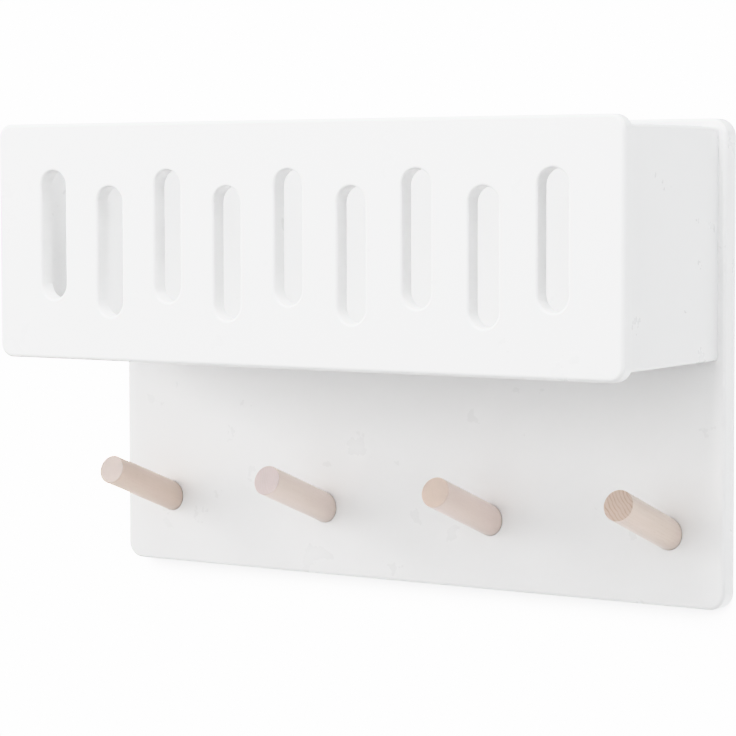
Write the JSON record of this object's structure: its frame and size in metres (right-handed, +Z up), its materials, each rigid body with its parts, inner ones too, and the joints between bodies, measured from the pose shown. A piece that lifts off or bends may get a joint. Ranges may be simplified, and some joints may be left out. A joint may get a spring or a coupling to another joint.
{
  "type": "wall hook rack",
  "caption": "Wall hook rack in white lacquered board: an open-topped storage box with a slotted front above a row of upward-tilted round wooden pegs.",
  "frame": {"origin": "centre of the back panel's rear face, which lies on the wall", "axes": "+Z up, +X to the right for someone who faces the rack, +Y into the wall; the front looks towards -Y"},
  "size_m": [0.6, 0.197, 0.395],
  "materials": {
    "panel_lacquer": "white satin lacquer on fibreboard",
    "peg_wood": "pale limewashed hardwood, matt",
    "dowel_wood": "plain hardwood",
    "zinc_steel": "bright zinc plated"
  },
  "bodies": {
    "root": {"back_panel": "panel_lacquer", "front_panel": "panel_lacquer", "box_side_left": "panel_lacquer", "box_side_right": "panel_lacquer", "box_bottom": "panel_lacquer", "peg_1": "peg_wood", "peg_2": "peg_wood", "peg_3": "peg_wood", "peg_4": "peg_wood", "peg_screw_1": "zinc_steel", "peg_screw_2": "zinc_steel", "peg_screw_3": "zinc_steel", "peg_screw_4": "zinc_steel", "back_screws_left": "zinc_steel", "back_screws_right": "zinc_steel", "back_screws_bottom": "zinc_steel", "front_dowels_left": "dowel_wood", "front_dowels_right": "dowel_wood", "front_dowels_bottom": "dowel_wood", "corner_dowels_left": "dowel_wood", "corner_dowels_right": "dowel_wood", "hanger_plate_left": "zinc_steel", "hanger_plate_right": "zinc_steel", "hanger_screws_left": "zinc_steel", "hanger_screws_right": "zinc_steel"}
  },
  "joints": []
}
